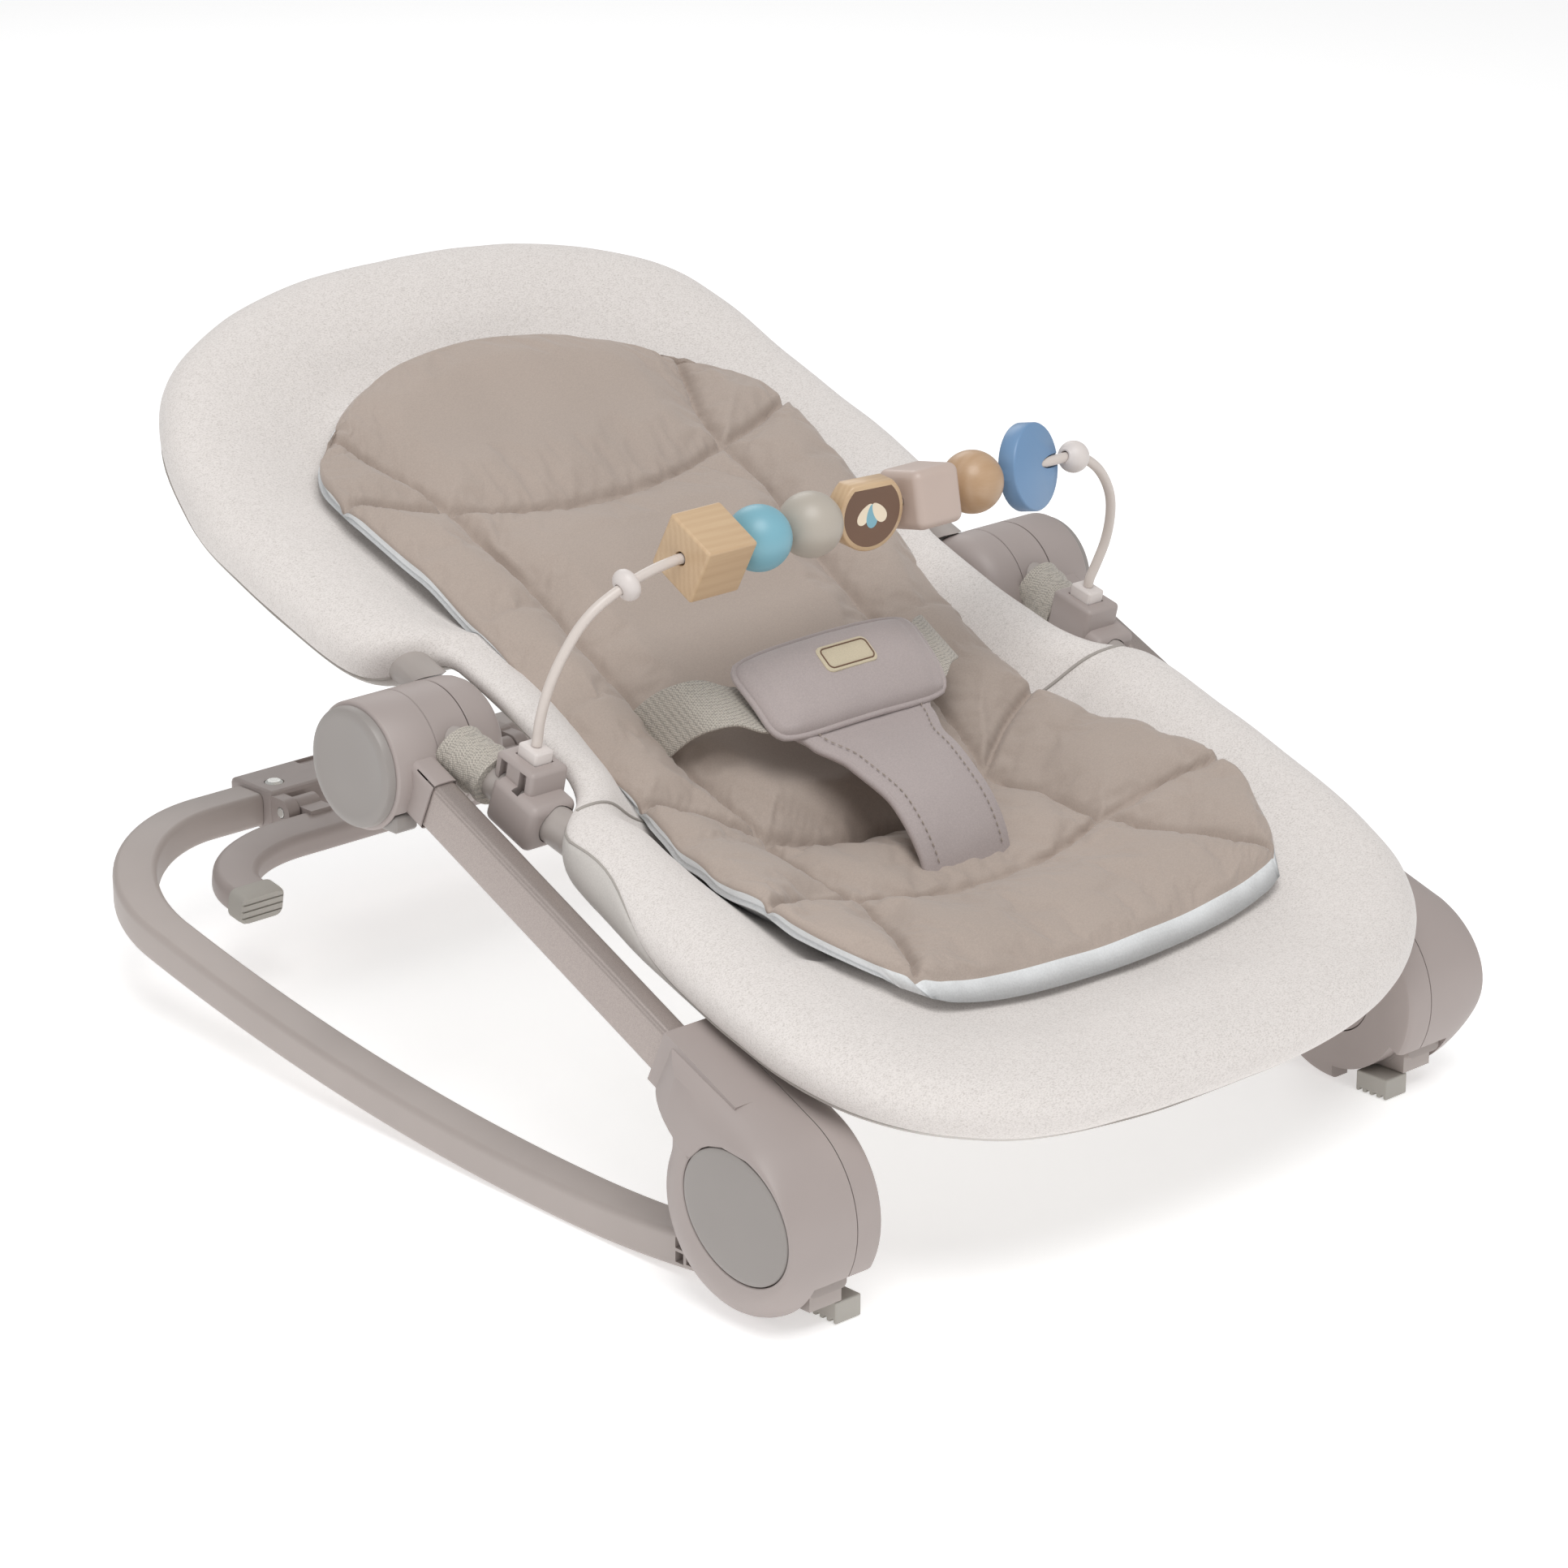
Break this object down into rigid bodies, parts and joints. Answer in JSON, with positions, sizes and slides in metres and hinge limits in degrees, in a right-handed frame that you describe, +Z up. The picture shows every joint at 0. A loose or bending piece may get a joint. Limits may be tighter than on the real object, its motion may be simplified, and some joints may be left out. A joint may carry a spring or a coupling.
{
  "type": "baby bouncer seat",
  "caption": "Baby rocker seat on a curved loop base with folding side struts, reclining padded seat, crotch harness, rear stand and a lift-off toy bar with turning beads.",
  "frame": {"origin": "on the floor under the middle of the object's bounding box", "axes": "+X across the seat towards its left-hand side as the child sits facing -Y, +Y from the foot end to the head end, +Z up"},
  "size_m": [0.436, 0.6047, 0.3291],
  "materials": {
    "beige_label": "plain woven label, left blank",
    "beige_plastic": "satin moulded surface",
    "beige_rod": "satin paint",
    "beige_webbing": "ribbed webbing",
    "blue_paint": "satin paint on wood",
    "grey_plastic": "satin moulded surface",
    "grey_rubber": "matte",
    "light_blue_paint": "satin paint on wood",
    "mauve_harness_fabric": "fine weave with piping",
    "natural_wood": "clear matte lacquer",
    "pale_jersey": "melange jersey knit",
    "pink_beige_paint": "satin paint on wood",
    "rail_plastic": "satin moulded surface",
    "rivet_steel": "satin",
    "sage_paint": "satin paint on wood",
    "steel_tube": "satin",
    "taupe_metal": "satin metallic lacquer",
    "taupe_pad_fabric": "fine quilted weave",
    "taupe_plastic": "fine matte moulded surface",
    "warm_wood": "clear matte lacquer"
  },
  "bodies": {
    "base": {"rocker_rail_l": "rail_plastic", "rocker_rail_r": "rail_plastic", "rear_crossbar": "taupe_plastic", "stand_pin_l": "rivet_steel", "stand_pin_r": "rivet_steel", "rivet_l": "rivet_steel", "rivet_r": "rivet_steel", "rubber_foot_l": "grey_rubber", "rubber_foot_r": "grey_rubber"},
    "stand": {"rear_stand": "taupe_plastic", "stand_tip_l": "grey_rubber", "stand_tip_r": "grey_rubber"},
    "chassis": {"strut_l": "taupe_metal", "strut_r": "taupe_metal", "front_shell_outer_l": "taupe_plastic", "front_shell_outer_r": "taupe_plastic", "front_shell_inner_l": "taupe_plastic", "front_shell_inner_r": "taupe_plastic", "front_axle_l": "taupe_plastic", "front_axle_r": "taupe_plastic", "upper_housing_l": "taupe_plastic", "upper_housing_r": "taupe_plastic", "hub_cap_l": "grey_plastic", "hub_cap_r": "grey_plastic", "recline_pin_l": "rivet_steel", "recline_pin_r": "rivet_steel", "seat_knuckle_l": "taupe_plastic", "seat_knuckle_r": "taupe_plastic", "toy_clip_l": "taupe_plastic", "toy_clip_r": "taupe_plastic", "lap_webbing_l": "beige_webbing", "lap_webbing_r": "beige_webbing", "seat_frame": "steel_tube", "seat_cover": "pale_jersey", "insert_seat_pad": "taupe_pad_fabric", "crotch_strap": "mauve_harness_fabric", "harness_flap": "mauve_harness_fabric", "label_patch": "beige_label"},
    "button_l": {"fold_button_l": "grey_plastic"},
    "button_r": {"fold_button_r": "grey_plastic"},
    "tab_l": {"recline_tab_l": "grey_plastic"},
    "tab_r": {"recline_tab_r": "grey_plastic"},
    "backrest": {"back_frame": "steel_tube", "back_knuckle_l": "taupe_plastic", "back_knuckle_r": "taupe_plastic", "back_cover": "pale_jersey", "insert_back_pad": "taupe_pad_fabric"},
    "toy_bar": {"toy_rod": "beige_rod", "toy_plug_l": "beige_plastic", "toy_plug_r": "beige_plastic", "end_bead_l": "beige_plastic", "end_bead_r": "beige_plastic"},
    "bead_wood_cube_body": {"bead_wood_cube": "natural_wood"},
    "bead_blue_ball_body": {"bead_blue_ball": "light_blue_paint"},
    "bead_sage_ball_body": {"bead_sage_ball": "sage_paint"},
    "bead_face_disc_body": {"bead_face_disc": "natural_wood"},
    "bead_pink_cube_body": {"bead_pink_cube": "pink_beige_paint"},
    "bead_wood_ball_body": {"bead_wood_ball": "warm_wood"},
    "bead_blue_disc_body": {"bead_blue_disc": "blue_paint"}
  },
  "joints": [
    {"name": "strut_fold", "type": "hinge", "parent": "base", "child": "chassis", "pos_m": [0, -0.2162, 0.046], "axis": [1, 0, 0], "range_deg": [-18, 0]},
    {"name": "recline", "type": "hinge", "parent": "chassis", "child": "backrest", "pos_m": [0, 0.0206, 0.1831], "axis": [1, 0, 0], "range_deg": [0, 35]},
    {"name": "stand_swing", "type": "hinge", "parent": "base", "child": "stand", "pos_m": [0, 0.2618, 0.06362], "axis": [1, 0, 0], "range_deg": [0, 48]},
    {"name": "fold_button_press_l", "type": "slide", "parent": "chassis", "child": "button_l", "axis": [1, 0, 0], "range_m": [0, 0.003], "stiffness_N_per_m": 400, "springref_m": -0.002},
    {"name": "fold_button_press_r", "type": "slide", "parent": "chassis", "child": "button_r", "axis": [-1, 0, 0], "range_m": [0, 0.003], "stiffness_N_per_m": 400, "springref_m": -0.002},
    {"name": "recline_tab_press_l", "type": "slide", "parent": "chassis", "child": "tab_l", "axis": [0, 0, 1], "range_m": [0, 0.003], "stiffness_N_per_m": 400, "springref_m": -0.002},
    {"name": "recline_tab_press_r", "type": "slide", "parent": "chassis", "child": "tab_r", "axis": [0, 0, 1], "range_m": [0, 0.003], "stiffness_N_per_m": 400, "springref_m": -0.002},
    {"name": "toy_bar_lift", "type": "slide", "parent": "chassis", "child": "toy_bar", "axis": [0, -0.2334, 0.9724], "range_m": [0, 0.13]},
    {"name": "wood_cube_spin", "type": "hinge", "parent": "toy_bar", "child": "bead_wood_cube_body", "pos_m": [-0.0885, -0.06708, 0.274], "axis": [1, 0, 0], "continuous": true},
    {"name": "blue_ball_spin", "type": "hinge", "parent": "toy_bar", "child": "bead_blue_ball_body", "pos_m": [-0.057, -0.06708, 0.274], "axis": [1, 0, 0], "continuous": true},
    {"name": "sage_ball_spin", "type": "hinge", "parent": "toy_bar", "child": "bead_sage_ball_body", "pos_m": [-0.0264, -0.06708, 0.274], "axis": [1, 0, 0], "continuous": true},
    {"name": "face_disc_spin", "type": "hinge", "parent": "toy_bar", "child": "bead_face_disc_body", "pos_m": [0.007, -0.06708, 0.274], "axis": [1, 0, 0], "continuous": true},
    {"name": "pink_cube_spin", "type": "hinge", "parent": "toy_bar", "child": "bead_pink_cube_body", "pos_m": [0.0413, -0.06708, 0.274], "axis": [1, 0, 0], "continuous": true},
    {"name": "wood_ball_spin", "type": "hinge", "parent": "toy_bar", "child": "bead_wood_ball_body", "pos_m": [0.0738, -0.06708, 0.274], "axis": [1, 0, 0], "continuous": true},
    {"name": "blue_disc_spin", "type": "hinge", "parent": "toy_bar", "child": "bead_blue_disc_body", "pos_m": [0.11, -0.06708, 0.274], "axis": [1, 0, 0], "continuous": true}
  ]
}
